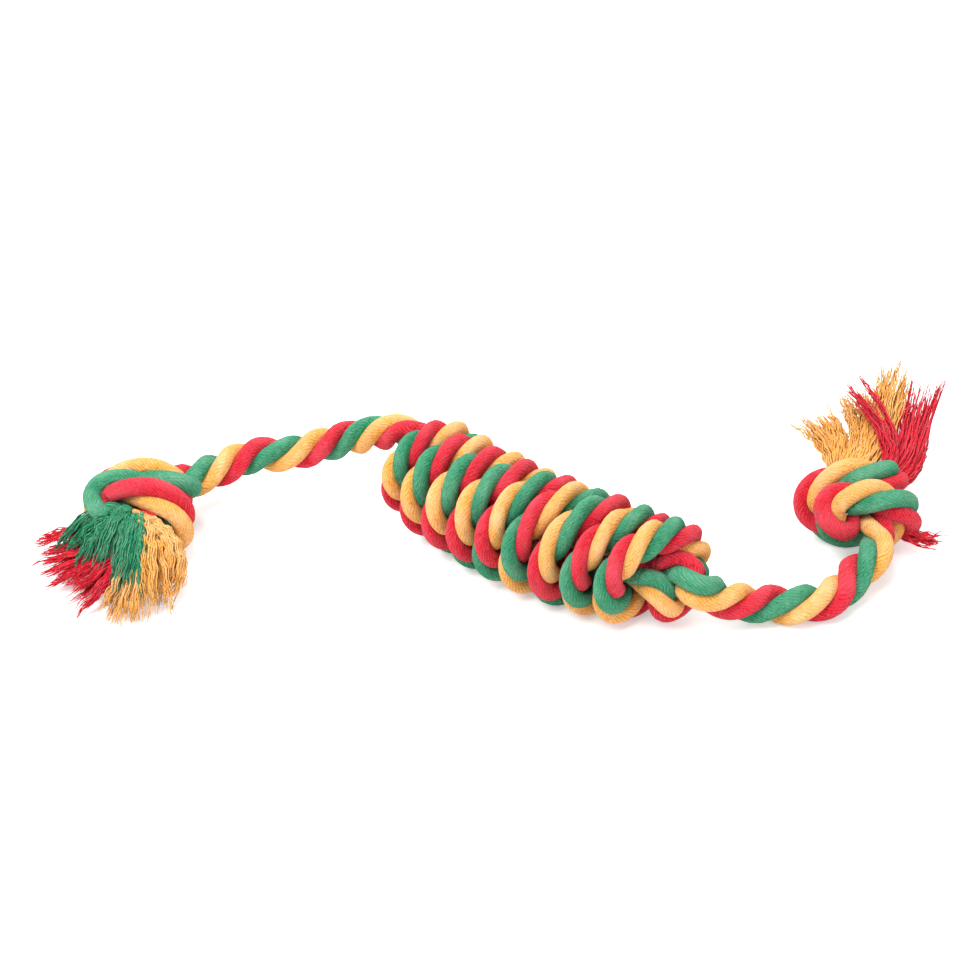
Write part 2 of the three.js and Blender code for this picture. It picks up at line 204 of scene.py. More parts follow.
def coreRun(start, end, angle, lay):
    # a run through the coil, which turns slowly round its axis
    place = np.linspace(start, end, stepsFor(end - start) + 1)
    turned = math.radians(core["turn"]) * (place / coil["length"] + 0.5)
    near = np.clip(1 - (end - place) / core["swell"], 0, 1)
    share = core["thickness"] + (core["endThickness"] - core["thickness"]) * near ** 2
    return run(coilPoint(place, core["offset"], math.radians(angle) + turned), share, lay)


def firstRun():
    # from the left arm, in past the left turns, and through the coil to its right end
    end = coil["length"] / 2
    place, radius, angle = core["wayIn"]
    start = coilPoint(place - end, radius, math.radians(angle))
    inside = coreRun(-end, end, core["angle"], core["firstLay"])
    bend = bendRun(start, along, inside["point"][0], wayAt(inside["point"], 0), core["wayInHandle"],
                   [1, core["thickness"]], arms["leftLay"])
    return joined([bend, inside])


def secondRun():
    # the same way once more, on the other side of the axis, and on to the right arm
    end = coil["length"] / 2
    return coreRun(core["wayBack"] - end, end + core["wayOut"], core["angle"] + 180, core["secondLay"])


def windingRun(before, after):
    # the turns go from the right end to the left, leaning as each comes forwards
    front = math.radians(coil["front"])
    leftTurn = 1 - (math.radians(coil["leftLoop"]) - front) / fullTurn
    rightTurn = len(coil["place"]) - 1 - (math.radians(coil["rightLoop"]) - front) / fullTurn
    steps = round((rightTurn - leftTurn) * coil["stepsPerTurn"])
    turn = np.linspace(rightTurn, leftTurn, steps + 1)
    angle = front - (turn - 1) * fullTurn
    radius = tableAt(coil["turnRadius"], turn) * coil["radius"]
    place = (tableAt(coil["place"], turn) - 0.5) * coil["length"] - coil["lean"] * radius * np.sin(angle)
    turns = run(coilPoint(place, radius, angle), tableAt(coil["thickness"], turn), rope["lay"])
    turns.update(angle=angle, lays=-tableAt(coil["lays"], turn), squeeze=tableAt(coil["squeeze"], turn))
    a, b, points = before["point"], after["point"], turns["point"]
    return joined([
        bendRun(a[-1], wayAt(a, -1), points[0], wayAt(points, 0), coil["loopHandle"],
                [core["endThickness"], turns["share"][0]], rope["lay"]),
        turns,
        bendRun(points[-1], wayAt(points, -1), b[0], wayAt(b, 0), coil["loopHandle"],
                [turns["share"][-1], core["thickness"]], rope["lay"]),
    ])


def knotRun(k):
    # an overhand knot: one run in, a turn and a bit round both runs, one run out
    size = knots["spacing"] * rope["diameter"] + knots["clearance"]
    axis = unit(np.array(k["way"], float))
    flat = unit(np.cross(upward, axis))
    square = np.cross(axis, flat)

    def at(x, y, z):
        x, y, z = (np.asarray(v, float)[..., None] for v in (x, y, z))
        return np.array(k["middle"]) + axis * x + flat * y + square * z

    runIn = math.radians(knots["runIn"])
    startAngle, endAngle = math.pi - runIn, runIn - fullTurn
    halfPlace = knots["pitch"] * (startAngle - endAngle) / fullTurn / 2
    steps = round((startAngle - endAngle) / fullTurn * knots["stepsPerTurn"])
    t = np.linspace(0, 1, steps + 1)
    angle = startAngle + (endAngle - startAngle) * t
    place = halfPlace - 2 * halfPlace * t
    thin = knots["thickness"]
    wide, high = knots["halfWidth"] * size, knots["halfHeight"] * size
    turns = run(at(place, wide * np.cos(angle), high * np.sin(angle)), thin, k["lay"])
    kept = [thin, thin]
    comeIn, goOut = at(halfPlace, -size / 2, 0), at(-halfPlace, size / 2, 0)
    points = turns["point"]
    return joined([
        straightRun(at(-knots["reach"], -size / 2, 0), comeIn, kept, k["lay"]),
        bendRun(comeIn, axis, points[0], wayAt(points, 0), knots["handle"], kept, k["lay"]),
        turns,
        bendRun(points[-1], wayAt(points, -1), goOut, axis, knots["handle"], kept, k["lay"]),
        straightRun(goOut, at(knots["reach"], size / 2, 0), kept, k["outLay"]),
    ])


def armRun(before, points, after, lay):
    # a smooth curve through the given points, each stretch of it timed by the root of its length
    tail = rope["diameter"] / 2
    a, b = before["point"], after["point"]
    p = np.array([a[-1], a[-1] + wayAt(a, -1) * tail, *points, b[0] - wayAt(b, 0) * tail, b[0]])
    e = np.vstack([2 * p[0] - p[1], p, 2 * p[-1] - p[-2]])
    t = np.linspace(0, 1, rope["armSamples"], endpoint=False)[:, None]
    line = []
    for p0, p1, p2, p3 in zip(e, e[1:], e[2:], e[3:]):
        d0, d1, d2 = (math.sqrt(np.linalg.norm(v)) for v in (p1 - p0, p2 - p1, p3 - p2))
        m1 = ((p1 - p0) / d0 - (p2 - p0) / (d0 + d1) + (p2 - p1) / d1) * d1
        m2 = ((p2 - p1) / d1 - (p3 - p1) / (d1 + d2) + (p3 - p2) / d2) * d1
        line.append(p1 + t * (m1 + t * (3 * (p2 - p1) - 2 * m1 - m2 + t * (2 * (p1 - p2) + m1 + m2))))
    line = np.vstack([*line, p[-1:]])
    length = lengthOf(line)
    steps = stepsFor(length)
    gone = np.linspace(0, length, steps + 1)

    def swell(share, gone):
        over = arms["coilSwell"] if share == core["endThickness"] else arms["knotSwell"]
        return share + (1 - share) * np.minimum(1, gone / over)

    share = np.minimum(swell(before["share"][-1], gone), swell(after["share"][0], length - gone))
    return run(spaced(line, steps), share, lay)


def wholeRope():
    # The stretches end to end, with the rope's own frame at each station: its way, a side and the
    # other side square to both. The twist turns the strands in that frame, and each stretch's share
    # of a whole turn is its step by its lay.
    left = {k: v[::-1] for k, v in knotRun(knots["left"]).items()}
    right = knotRun(knots["right"])
    first, second = firstRun(), secondRun()
    stretches = {
        "leftKnot": left,
        "leftArm": armRun(left, arms["left"], first, arms["leftLay"]),
        "firstRun": first,
        "winding": windingRun(first, second),
        "secondRun": second,
        "rightArm": armRun(second, arms["right"], right, arms["rightLay"]),
        "rightKnot": right,
    }
    spans, start = {}, 0
    for name, r in stretches.items():
        spans[name] = (start, start + len(r["point"]) - 1)
        start = spans[name][1]
    line = joined(list(stretches.values()))
    p = line["point"]
    way = np.empty_like(p)
    way[1:-1] = p[2:] - p[:-2]
    way[0], way[-1] = p[1] - p[0], p[-1] - p[-2]
    way = unit(way)
    side = np.empty_like(p)
    last = upward
    for i, w in enumerate(way):  # a frame that turns no more than the rope bends
        last = last - w * (last @ w)
        last = last / np.linalg.norm(last)
        side[i] = last
    other = np.cross(way, side)
    step = np.append(0, np.linalg.norm(np.diff(p, axis=0), axis=1))
    line["gone"] = np.cumsum(step)

    # the twist keeps to the coil's own table there, and runs on by the lay elsewhere
    twist = np.zeros(len(p))
    wound = np.flatnonzero(~np.isnan(line["angle"]))
    outward = outwardAt(line["angle"][wound])
    twist[wound] = np.unwrap(
        np.arctan2((outward * other[wound]).sum(1), (outward * side[wound]).sum(1))
    ) - line["lays"][wound] * fullTurn
    lastWound, firstWound = wound[-1], wound[0]
    twist[lastWound + 1:] = twist[lastWound] - np.cumsum(
        step[lastWound + 1:] / line["lay"][lastWound + 1:]) * fullTurn
    back = step[1:firstWound + 1] / line["lay"][:firstWound] * fullTurn
    twist[:firstWound] = twist[firstWound] + np.cumsum(back[::-1])[::-1]

    # the turns are squeezed along the coil, less and less over the bends at its two ends
    across = np.zeros_like(p)
    across[wound] = unit(np.cross(way[wound], outward))
    fade = coil["fade"]
    for k in range(1, fade):
        for at, base in ((firstWound - k, firstWound), (lastWound + k, lastWound)):
            v = across[base] - way[at] * (across[base] @ way[at])
            across[at] = v / np.linalg.norm(v)
            line["squeeze"][at] = 1 + (line["squeeze"][base] - 1) * (1 - k / fade)
    line.update(way=way, side=side, other=other, twist=twist, across=across)
    return line, spans


line, spans = wholeRope()
print("route: rope of", round(line["gone"][-1]), "mm between the tassels,", len(line["gone"]), "stations")


# Cotton
def linear(hexColour):
    # sRGB to linear: a straight part near black, and above it a power of 2.4
    parts = [int(hexColour[i:i + 2], 16) / 255 for i in (1, 3, 5)]
    return [*(v / 12.92 if v <= 0.04045 else ((v + 0.055) / 1.055) ** 2.4 for v in parts), 1]


def node(tree, kind, settings=None, links=None):
    # one node, with its settings, its input values by name or number, and its links
    made = tree.nodes.new(kind)
    for key, value in (settings or {}).items():
        if isinstance(key, str) and hasattr(made, key):
            setattr(made, key, value)
        else:
            made.inputs[key].default_value = value
    for key, source in (links or {}).items():
        tree.links.new(source, made.inputs[key])
    return made


# Dyed cotton yarn, ring-spun and laid into strands: no gloss, a soft bright fuzz where the light grazes
# it, the deep colour painted as shade in the hollows between the yarns, and a paler crown, rubbed pale and
# partly a painted highlight.
cotton = {
    "Green": {"deep": "#085438", "main": "#078f60", "pale": "#86bfa0", "sheen": "#b9dcc8"},
    "Red": {"deep": "#8a0519", "main": "#ea0428", "pale": "#f0606f", "sheen": "#ffc0bd"},
    "Yellow": {"deep": "#d27a1c", "main": "#ffb03e", "pale": "#ffdfb4", "sheen": "#ffe6c2"},
}
# Noise scales are in waves for each metre, and the fibre's in waves for each yarn and each mm.
grain = {
    "fibre": (5.0, 0.45, 1.0), "patches": 120.0, "flecks": 1150.0, "fuzz": 2600.0,
    "crown": 0.55, "paleFibres": 0.62, "gapShade": 0.75, "faded": 0.26, "wornAndLit": 0.16,
    "fleckDepth": 1.4, "relief": 0.0005, "roughness": 0.92, "specular": 0.15, "sheen": 0.18,
    "sheenRoughness": 0.4,
}


def cottonMaterial(name, c):
    # The colour goes from deep, a painted shade in the hollow between two yarns, to main on the yarn, then
    # towards pale by the fibres, to deep again as painted shade in the gaps, and to pale again by fading,
    # rubbing and a painted highlight on the crown.
    g = grain
    material = bpy.data.materials.new(f"dyed{name}CottonYarn")
    material.use_nodes = True
    tree = material.node_tree
    tree.nodes.clear()
    uv = node(tree, "ShaderNodeUVMap", {"uv_map": "yarn"})  # across in yarns, along in mm
    apart = node(tree, "ShaderNodeSeparateXYZ", links={0: uv.outputs[0]})
    place = node(tree, "ShaderNodeTexCoord")
    saw = node(tree, "ShaderNodeMath", {"operation": "PINGPONG", 1: 0.5}, {0: apart.outputs[0]})
    crown = node(tree, "ShaderNodeMath", {"operation": "MULTIPLY", 1: 2.0}, {0: saw.outputs[0]})
    # single fibres, about 0.2 mm across, run along the yarn
    lean = node(tree, "ShaderNodeVectorMath", {"operation": "MULTIPLY", 1: g["fibre"]},
                {0: uv.outputs[0]})
    fibre = node(tree, "ShaderNodeTexNoise", {"Scale": 1.0, "Detail": 3.0, "Roughness": 0.6},
                 {"Vector": lean.outputs[0]})
    # the dye takes unevenly, in patches of about 8 mm
    patch = node(tree, "ShaderNodeTexNoise", {"Scale": g["patches"], "Detail": 3.0},
                 {"Vector": place.outputs["Object"]})
    # painted shade: the hollow between two yarns goes to the deep colour
    hollowShade = node(tree, "ShaderNodeMapRange", {"From Min": 0.0, "From Max": g["crown"]},
                  {"Value": crown.outputs[0]})
    shade = node(tree, "ShaderNodeMix", {"data_type": "RGBA", 6: linear(c["deep"]), 7: linear(c["main"])},
                 {0: hollowShade.outputs[0]})
    mottle = node(tree, "ShaderNodeMapRange",
                  {"From Min": 0.45, "From Max": 0.72, "To Max": g["paleFibres"]},
                  {"Value": fibre.outputs["Fac"]})
    dusty = node(tree, "ShaderNodeMix", {"data_type": "RGBA", 7: linear(c["pale"])},
                 {0: mottle.outputs[0], 6: shade.outputs[2]})
    # painted shade: the gaps between the fibres, the low places of the bump noise, go deep and dark, in
    # flecks just under a millimetre
    fleck = node(tree, "ShaderNodeTexNoise", {"Scale": g["flecks"], "Detail": 2.0, "Roughness": 0.7},
                 {"Vector": place.outputs["Object"]})
    gaps = node(tree, "ShaderNodeMapRange", {"From Min": 0.46, "From Max": 0.3, "To Max": g["gapShade"]},
                {"Value": fleck.outputs["Fac"]})
    gapShaded = node(tree, "ShaderNodeMix", {"data_type": "RGBA", 7: linear(c["deep"])},
                   {0: gaps.outputs[0], 6: dusty.outputs[2]})
    faded = node(tree, "ShaderNodeMapRange", {"From Min": 0.44, "From Max": 0.7, "To Max": g["faded"]},
                 {"Value": patch.outputs["Fac"]})
    # the outermost side of each strand is paler: rubbed pale, and partly a painted highlight where the
    # light catches it
    wearAndHighlight = node(tree, "ShaderNodeAttribute", {"attribute_name": "wearAndHighlight"})
    wornAndLit = node(tree, "ShaderNodeMath", {"operation": "MULTIPLY_ADD", 1: g["wornAndLit"]},
                {0: wearAndHighlight.outputs["Fac"], 2: faded.outputs[0]})
    final = node(tree, "ShaderNodeMix", {"data_type": "RGBA", 7: linear(c["pale"])},
                 {0: wornAndLit.outputs[0], 6: gapShaded.outputs[2]})
    # loose fibre ends of a few tenths of a millimetre, in no direction, lift off the yarn
    fuzz = node(tree, "ShaderNodeTexNoise", {"Scale": g["fuzz"], "Detail": 2.0, "Roughness": 0.7},
                {"Vector": place.outputs["Object"]})
    rough = node(tree, "ShaderNodeMath", {"operation": "ADD"},
                 {0: fibre.outputs["Fac"], 1: fuzz.outputs["Fac"]})
    knobbly = node(tree, "ShaderNodeMath", {"operation": "MULTIPLY_ADD", 1: g["fleckDepth"]},
                   {0: fleck.outputs["Fac"], 2: rough.outputs[0]})
    bump = node(tree, "ShaderNodeBump", {"Strength": 1.0, "Distance": g["relief"]},
                {"Height": knobbly.outputs[0]})
    shader = node(tree, "ShaderNodeBsdfPrincipled", {
        "Roughness": g["roughness"], "Specular IOR Level": g["specular"],
        "Sheen Weight": g["sheen"], "Sheen Roughness": g["sheenRoughness"],
        "Sheen Tint": linear(c["sheen"]),
    }, {"Base Color": final.outputs[2], "Normal": bump.outputs[0]})
    node(tree, "ShaderNodeOutputMaterial", links={0: shader.outputs[0]})
    return material


materials = {name: cottonMaterial(name, c) for name, c in cotton.items()}
print("materials: cotton in", ", ".join(materials))


# Meshes
def gridFaces(rows, columns, first=0):
    # quads of a tube of rings, then a fan at each end; the two middle points come last
    i, j = np.meshgrid(np.arange(rows - 1), np.arange(columns), indexing="ij")
    k = (j + 1) % columns
    quads = np.stack([i * columns + j, i * columns + k, (i + 1) * columns + k, (i + 1) * columns + j],
                     axis=-1).reshape(-1, 4)
    j = np.arange(columns)
    k = (j + 1) % columns
    end = (rows - 1) * columns
    middle = np.full(columns, rows * columns)
    caps = np.concatenate([np.stack([middle, k, j], 1), np.stack([middle + 1, end + j, end + k], 1)])
    return quads + first, caps + first


def tubes(name, parts, slotNames):
    # parts: (rings of points, across-values, along-values, rubbed and painted-highlight paleness of each
    # point, material number), all joined in one mesh
    points, quads, caps, quadUv, capUv, quadSlot, capSlot, wearsAndHighlights = [], [], [], [], [], [], [], []
    first = 0
    for rings, u, v, wearAndHighlight, slotNumber in parts:
        rows, columns = rings.shape[:2]
        points += [rings.reshape(-1, 3), rings[:1].mean(axis=1), rings[-1:].mean(axis=1)]
        wearsAndHighlights += [np.broadcast_to(wearAndHighlight, (rows, columns)).ravel(), [0, 0]]
        q, c = gridFaces(rows, columns, first)
        i, j = np.meshgrid(np.arange(rows - 1), np.arange(columns), indexing="ij")
        corners = [(i, j), (i, j + 1), (i + 1, j + 1), (i + 1, j)]
        quadUv.append(np.stack([np.stack([u[a, b], v[a, b]], -1) for a, b in corners], 2).reshape(-1, 2))
        j = np.arange(columns)
        for row, order in ((0, (j, j + 1, j)), (rows - 1, (j, j, j + 1))):
            capUv.append(np.stack([np.stack([u[row, b], v[row, b]], -1) for b in order], 1).reshape(-1, 2))
        quads.append(q)
        caps.append(c)
        quadSlot.append(np.full(len(q), slotNumber))
        capSlot.append(np.full(len(c), slotNumber))
        first += rows * columns + 2
    points = (np.concatenate(points) - toyCentre) * mm
    quads, caps = np.concatenate(quads), np.concatenate(caps)
    mesh = bpy.data.meshes.new(name)
    mesh.vertices.add(len(points))
    mesh.vertices.foreach_set("co", points.astype(np.float32).ravel())
    corners = np.concatenate([quads.ravel(), caps.ravel()]).astype(np.int32)
    mesh.loops.add(len(corners))
    mesh.loops.foreach_set("vertex_index", corners)
    starts = np.concatenate([np.arange(len(quads)) * 4, len(quads) * 4 + np.arange(len(caps)) * 3])
    mesh.polygons.add(len(starts))
    mesh.polygons.foreach_set("loop_start", starts.astype(np.int32))
    mesh.polygons.foreach_set("material_index", np.concatenate(quadSlot + capSlot).astype(np.int32))
    mesh.polygons.foreach_set("use_smooth", np.ones(len(starts), bool))
    layer = mesh.uv_layers.new(name="yarn")
    layer.data.foreach_set("uv", np.concatenate(quadUv + capUv).astype(np.float32).ravel())
    # the crown's paleness: rubbed pale, and partly a painted highlight
    wornAndLit = mesh.attributes.new("wearAndHighlight", "FLOAT", "POINT")
    wornAndLit.data.foreach_set("value", np.concatenate(wearsAndHighlights).astype(np.float32))
    mesh.update(calc_edges=True)
    mesh.validate()
    for s in slotNames:
        mesh.materials.append(materials[s])
    obj = bpy.data.objects.new(name, mesh)
    bpy.context.scene.collection.objects.link(obj)
    return obj


# Strands
strand = {
    "sides": 96, "yarns": 19, "ridge": 0.15,
    "radial": 2.98, "tangential": 3.2, "seat": 3.02, "flank": 2.6, "flankAngle": 150,
    "flankLeast": 0.2, "innerSides": 40, "crest": 0.6, "yarnTurnsPerLay": 2, "seed": 4, "phases": 6,
    # waves of (size, length along in mm, waves around, which phase)
    "sway": [(0.16, 3.7, 3, 5), (0.12, 1.9, -4, 4)],
    "girth": [(0.016, 5.3, 2, 0), (0.018, 9.1, 1, 1)],
    "lumps": [(0.016, 0.8, 5, 3), (1, 1.9, -3, 4)],
    "ridgeWave": (0.5, 3.1, 3, 2),
}
rng = np.random.default_rng(strand["seed"])
yarnHeights = {name: rng.uniform(0.55, 1.3, strand["yarns"]) for name in rope["strands"]}
wander = {name: rng.uniform(0, fullTurn, strand["phases"]) for name in rope["strands"]}


def strandRings(name, first, last, sides):
    # A ring at each station, in the plane square to the rope: an ellipse round the strand's own
    # middle, cut by the two flanks where it presses on its neighbours, with one rounded ridge for
    # each yarn. The yarns turn against the lay, so outside they run the way of the rope.
    s = slice(first, last + 1)
    phi = np.linspace(0, fullTurn, sides + 1)[None, :]
    turn = (line["twist"][s] + math.radians(rope["strands"][name]))[:, None]
    gone = line["gone"][s][:, None]
    share = line["share"][s][:, None]

    def wave(size, length, lobes, phase):
        return size * np.sin(gone / length + wander[name][phase] + lobes * phi)

    r = 1 / np.sqrt((np.cos(phi) / strand["radial"]) ** 2 + (np.sin(phi) / strand["tangential"]) ** 2)
    flankAngle = math.radians(strand["flankAngle"])
    flank = np.maximum(np.cos(phi - flankAngle), np.cos(phi + flankAngle))
    r = np.minimum(r, strand["flank"] / np.maximum(flank, strand["flankLeast"]))
    turned = strand["yarnTurnsPerLay"] * (gone / rope["lay"])
    u = strand["yarns"] * (phi / fullTurn - turned) + sum(wave(*v) for v in strand["sway"])
    height = yarnHeights[name][np.floor(u).astype(int) % strand["yarns"]]
    ridge = np.abs(np.sin(math.pi * u)) ** strand["crest"] - strand["crest"]
    r = r * (1 + sum(wave(*v) for v in strand["girth"]))
    r = r * (1 + math.prod(wave(*v) for v in strand["lumps"]))
    r = r + strand["ridge"] * height * ridge * (1 + wave(*strand["ridgeWave"]))
    x = (strand["seat"] * np.cos(turn) + r * np.cos(turn + phi)) * share
    y = (strand["seat"] * np.sin(turn) + r * np.sin(turn + phi)) * share
    offset = line["side"][s][:, None] * x[..., None] + line["other"][s][:, None] * y[..., None]
    across = line["across"][s][:, None]
    offset = offset + across * ((line["squeeze"][s] - 1)[:, None] * (offset * across).sum(-1))[..., None]
    rings = line["point"][s][:, None] + offset
    rings[..., 2] = np.maximum(rings[..., 2], rope["ground"])  # pressed flat on the ground
    v = np.broadcast_to(gone, u.shape)
    # the outer side of the strand, paler by rubbing and by a painted highlight
    wearAndHighlight = np.maximum(0, np.cos(phi[:, :-1])) ** 2
    return rings[:, :-1], u, v, wearAndHighlight


nodeNames = {"leftKnot": "left_knot", "firstRun": "inner_bight", "winding": "winding",
             "secondRun": "inner_run", "rightKnot": "right_knot"}
rides = {"leftKnot": "left_end", "firstRun": "coil", "winding": "coil", "secondRun": "coil",
         "rightKnot": "right_end"}
for stretch, body in rides.items():
    first, last = spans[stretch]
    sides = strand["innerSides"] if stretch.endswith("Run") else strand["sides"]
    for colour in rope["strands"]:
        part = strandRings(colour, first, last, sides)
        piece = tubes(stretch + colour, [(*part, 0)], [colour])
        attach(piece, body)
        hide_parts(f"{nodeNames[stretch]}_{colour.lower()}")
print("strands: knots, turns and runs made")


# Tassels
# Each frayed strand falls apart into locks of crimped threads. A lock leaves the rope's end, runs
# past two points and opens out at its tip, wide across and deep up and down.
tassels = {
    "steps": 15, "sides": 3, "thickness": 0.68, "crimp": 0.42, "crimpLength": 6.5, "clump": 10,
    "number": 1.9, "spin": 2.39996, "clumpReach": (0.86, 1.04), "threadReach": (0.9, 1.05),
    # the threads' even pale mix: rubbed pale, and partly a painted highlight
    "stray": 0.35, "late": 1.2, "draw": 0.4, "crimpFrom": 4, "taper": 0.7, "wearAndHighlight": 0.25,
    "slow": 1.6, "slowWaves": (3.5, 3.1), "slowOver": 0.7, "lift": (0.5, 0.4), "root": 0.85,
    "yarnAcross": 0.12, "seeds": (11, 7),
    "left": {
        "Green": [
            {"past": [[-112, -28, 25], [-121, -30, 20]], "tip": [-129, -37, 9],
             "wide": 8, "deep": 3, "threads": 74},
            {"past": [[-108, -28, 26], [-114, -35, 20]], "tip": [-116, -44, 8],
             "wide": 7, "deep": 3, "threads": 66},
            {"past": [[-104, -29, 25], [-107, -38, 18]], "tip": [-108, -52, 5],
             "wide": 6, "deep": 3, "threads": 62},
        ],
        "Red": [
            {"past": [[-114, -30, 15], [-126, -27, 10]], "tip": [-141, -27, 5],
             "wide": 8, "deep": 3, "threads": 66},
            {"past": [[-112, -35, 14], [-122, -37, 9]], "tip": [-138, -41, 4],
             "wide": 8, "deep": 3, "threads": 70},
            {"past": [[-109, -37, 13], [-115, -44, 8]], "tip": [-126, -54, 4],
             "wide": 8, "deep": 3, "threads": 70},
        ],
        "Yellow": [
            {"past": [[-103, -31, 20], [-101, -41, 13]], "tip": [-98, -60, 4],
             "wide": 6.5, "deep": 3.5, "threads": 66,
             "late": 1.6},
            {"past": [[-98, -30, 16], [-88, -42, 12]], "tip": [-96, -54, 4],
             "wide": 4, "deep": 3, "threads": 44},
            {"past": [[-104, -38, 12], [-108, -48, 8]], "tip": [-110, -61, 3.5],
             "wide": 6, "deep": 2.5, "threads": 50},
        ],
    },
    "right": {
        "Green": [
            {"past": [[124, -2, 14], [127, 12, 13]], "tip": [128, 25, 13],
             "wide": 3.5, "deep": 2, "threads": 34},
        ],
        "Red": [
            {"past": [[138, -18, 13], [139, 6, 22]], "tip": [151, 37, 26],
             "wide": 7, "deep": 3, "threads": 70},
            {"past": [[141, -12, 18], [132, 4, 31]], "tip": [125, 27, 32],
             "wide": 3.5, "deep": 2, "threads": 26,
             "late": 4},
            {"past": [[144, -14, 13], [143, 4, 17]], "tip": [148, 17, 18],
             "wide": 3, "deep": 2, "threads": 24,
             "late": 4},
            {"past": [[128, -22, 10], [136, -27, 8]], "tip": [147, -26, 6.5],
             "wide": 2.6, "deep": 1.8, "threads": 32,
             "late": 3},
        ],
        "Yellow": [
            {"past": [[118, 2, 16], [118, 12, 20]], "tip": [112, 27, 19],
             "wide": 8, "deep": 3, "threads": 66},
            {"past": [[124, 0, 19], [131, 18, 22]], "tip": [121, 31, 24],
             "wide": 5, "deep": 3, "threads": 48},
            {"past": [[127, -2, 18], [132, 12, 23]], "tip": [143, 43, 28],
             "wide": 8, "deep": 3, "threads": 74},
            {"past": [[125, -2, 18], [129, 10, 21]], "tip": [133, 31, 27],
             "wide": 7, "deep": 3, "threads": 54},
        ],
    },
}


def lockThreads(root, rootRadius, lock, rng):
    # The lock's line is the cubic of root, past and tip. A thread keeps its own place (a, b) in a
    # disc, which grows to wide x deep, is drawn to its clump, and waves once in each crimp length.
    c = np.array([root, *lock["past"], lock["tip"]], float)
    t = tassels
    n, steps, sides = round(lock["threads"] * t["number"]), t["steps"], t["sides"]
    disc, spin = np.sqrt((np.arange(n) + 0.5) / n), np.arange(n) * t["spin"]
    a, b = disc * np.cos(spin), disc * np.sin(spin)
    heads = rng.choice(n, max(2, n // t["clump"]), replace=False)
    nearest = heads[np.argmin((a[:, None] - a[heads]) ** 2 + (b[:, None] - b[heads]) ** 2, axis=1)]
    clumpLength = rng.uniform(*t["clumpReach"], n)[nearest]
    clumpWave = rng.uniform(0, fullTurn, (n, 4))[nearest] + rng.normal(0, t["stray"], (n, 4))
    ends = clumpLength * rng.uniform(*t["threadReach"], n)
    reach = lengthOf(c)
    s = np.linspace(0, 1, steps + 1)[None, :] * ends[:, None]
    k = np.clip(s, 0, 1)[..., None]
    h = 1 - k
    middle = h ** 3 * c[0] + 3 * h ** 2 * k * c[1] + 3 * h * k ** 2 * c[2] + k ** 3 * c[3]
    way = unit(h ** 2 * (c[1] - c[0]) + 2 * h * k * (c[2] - c[1]) + k ** 2 * (c[3] - c[2]))
    middle = middle + way * (s[..., None] - k) * reach
    across = unit(np.cross(upward, way))
    over = np.cross(way, across)
    spread = s ** lock.get("late", t["late"])
    draw = t["draw"] * s ** 2
    aa = a[:, None] * (1 - draw) + a[nearest][:, None] * draw
    bb = b[:, None] * (1 - draw) + b[nearest][:, None] * draw
    gone = s * reach
    crimp = t["crimp"] * np.minimum(1, t["crimpFrom"] * s)
    wave = fullTurn * gone / t["crimpLength"]
    slow = t["slow"] * s ** 1.5
    first, second = t["slowWaves"]
    x = (rootRadius + (lock["wide"] - rootRadius) * spread) * aa
    y = (rootRadius + (lock["deep"] - rootRadius) * spread) * bb
    x = x + crimp * np.sin(wave + clumpWave[:, :1]) + slow * np.sin(first * s + clumpWave[:, 1:2])
    y = y + crimp * np.cos(wave + clumpWave[:, 2:3])
    y = y + t["slowOver"] * slow * np.sin(second * s + clumpWave[:, 3:])
    centre = middle + across * x[..., None] + over * y[..., None]
    least, more = t["lift"]
    centre[..., 2] = np.maximum(centre[..., 2], least + more * disc[:, None])
    forwardWay = unit(np.gradient(centre, axis=1))
    u1 = unit(np.cross(forwardWay, over + 0.01))
    u2 = np.cross(forwardWay, u1)
    radius = t["thickness"] / 2 * (1 - t["taper"] * (s / ends[:, None]) ** 5)
    phi = np.linspace(0, fullTurn, sides + 1)
    rings = centre[:, :, None] + radius[:, :, None, None] * (
        u1[:, :, None] * np.cos(phi)[:, None] + u2[:, :, None] * np.sin(phi)[:, None])
    v = np.broadcast_to(gone[..., None], (n, steps + 1, sides + 1))
    u = 0.5 + t["yarnAcross"] * np.cos(phi) + 3 * np.arange(n)[:, None, None] + 0 * v
    return [(rings[i, :, :-1], u[i], v[i], t["wearAndHighlight"], 0) for i in range(n)]


def tasselThreads(side, colour, seed):
    # all the locks of one strand, from the middle of that strand where the rope ends
    end = 0 if side == "left" else -1
    turn = line["twist"][end] + math.radians(rope["strands"][colour])
    share = line["share"][end]
    root = line["point"][end] + share * strand["seat"] * (
        line["side"][end] * math.cos(turn) + line["other"][end] * math.sin(turn))
    rng = np.random.default_rng(seed)
    return [part for lock in tassels[side][colour]
            for part in lockThreads(root, tassels["root"] * strand["radial"] * share, lock, rng)]


firstSeed, seedStep = tassels["seeds"]
for number, (side, body) in enumerate((("left", "left_end"), ("right", "right_end"))):
    for colour in rope["strands"]:
        name = f"{side}Tassel{colour}"
        seed = firstSeed + seedStep * number + len(colour)
        piece = tubes(name, tasselThreads(side, colour, seed), [colour])
        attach(piece, body)
        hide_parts(f"{side}_tassel_{colour.lower()}")
print("tassels: frayed threads made")


# The two arms
for side, body in (("left", "left_end"), ("right", "right_end")):
    first, last = spans[side + "Arm"]
    parts = [(*strandRings(colour, first, last, strand["sides"]), number)
             for number, colour in enumerate(rope["strands"])]
    arm = tubes(side + "ArmRope", parts, list(rope["strands"]))
    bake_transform(arm)
    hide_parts(*(f"{side}_arm_{c.lower()}" for c in rope["strands"]))


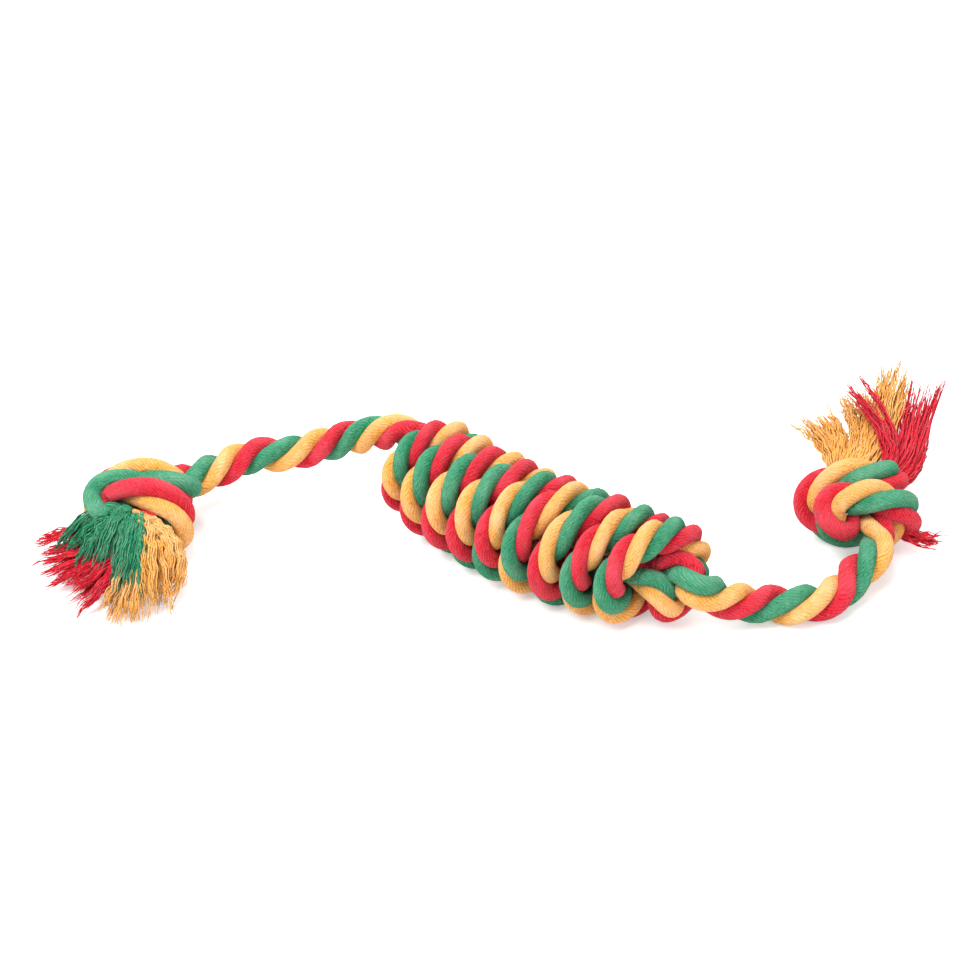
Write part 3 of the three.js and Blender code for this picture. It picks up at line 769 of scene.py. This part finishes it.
# Floor and light
studio = {
    "floor": 3.0, "floorColour": "#f4f4f4", "glow": 0.35, "world": 0.5,
    "lamps": {
        "keyLamp": {"watts": 19, "size": 0.8, "at": (-0.35, -0.25, 1.0)},
        "fillLamp": {"watts": 5, "size": 0.9, "at": (0.8, -0.8, 0.7)},
        "rimLamp": {"watts": 8, "size": 0.7, "at": (0.2, 0.9, 0.7)},
    },
}


def seenStraight(tree):
    # one where a ray comes from the camera, straight or by gloss or glass, and nought elsewhere
    ray = node(tree, "ShaderNodeLightPath")
    seen = node(tree, "ShaderNodeMath", {"operation": "ADD", "use_clamp": True},
                {0: ray.outputs["Is Camera Ray"], 1: ray.outputs["Is Glossy Ray"]})
    seenToo = node(tree, "ShaderNodeMath", {"operation": "ADD", "use_clamp": True},
                   {0: seen.outputs[0], 1: ray.outputs["Is Transmission Ray"]})
    return seenToo.outputs[0]


def makeStage(s):
    # a pale floor that keeps the shadow, a white world that lights softly, and three lamps that
    # face the toy
    mesh = bpy.data.meshes.new("paleFloor")
    h = s["floor"]
    mesh.from_pydata([(-h, -h, 0), (h, -h, 0), (h, h, 0), (-h, h, 0)], [], [(0, 1, 2, 3)])
    floor = bpy.data.objects.new("paleFloor", mesh)
    bpy.context.scene.collection.objects.link(floor)
    material = bpy.data.materials.new("paleStudioFloor")
    material.use_nodes = True
    tree = material.node_tree
    tree.nodes.clear()
    level = node(tree, "ShaderNodeMath", {"operation": "MULTIPLY", 1: s["glow"]}, {0: seenStraight(tree)})
    matt = node(tree, "ShaderNodeBsdfDiffuse", {"Color": linear(s["floorColour"])})
    glow = node(tree, "ShaderNodeEmission", {"Color": (1, 1, 1, 1)}, {"Strength": level.outputs[0]})
    both = node(tree, "ShaderNodeAddShader", links={0: matt.outputs[0], 1: glow.outputs[0]})
    node(tree, "ShaderNodeOutputMaterial", links={0: both.outputs[0]})
    mesh.materials.append(material)

    world = bpy.data.worlds.new("softStudio")
    bpy.context.scene.world = world
    world.use_nodes = True
    tree = world.node_tree
    tree.nodes.clear()
    dim = node(tree, "ShaderNodeBackground", {"Color": (1, 1, 1, 1), "Strength": s["world"]})
    white = node(tree, "ShaderNodeBackground", {"Color": (1, 1, 1, 1), "Strength": 1.0})
    pick = node(tree, "ShaderNodeMixShader",
                links={0: seenStraight(tree), 1: dim.outputs[0], 2: white.outputs[0]})
    node(tree, "ShaderNodeOutputWorld", links={0: pick.outputs[0]})

    for name, given in s["lamps"].items():
        data = bpy.data.lights.new(name, "AREA")
        data.energy = given["watts"]
        data.size = given["size"]
        lamp = bpy.data.objects.new(name, data)
        bpy.context.scene.collection.objects.link(lamp)
        lamp.location = given["at"]
        towards = -np.array(given["at"])
        flatWay = math.hypot(towards[0], towards[1])
        lamp.rotation_euler = (math.pi / 2 - math.atan2(-towards[2], flatWay), 0,
                               math.atan2(towards[1], towards[0]) - math.pi / 2)


makeStage(studio)
bpy.context.scene.view_settings.view_transform = "Standard"
print("stage: floor, world and lamps made")
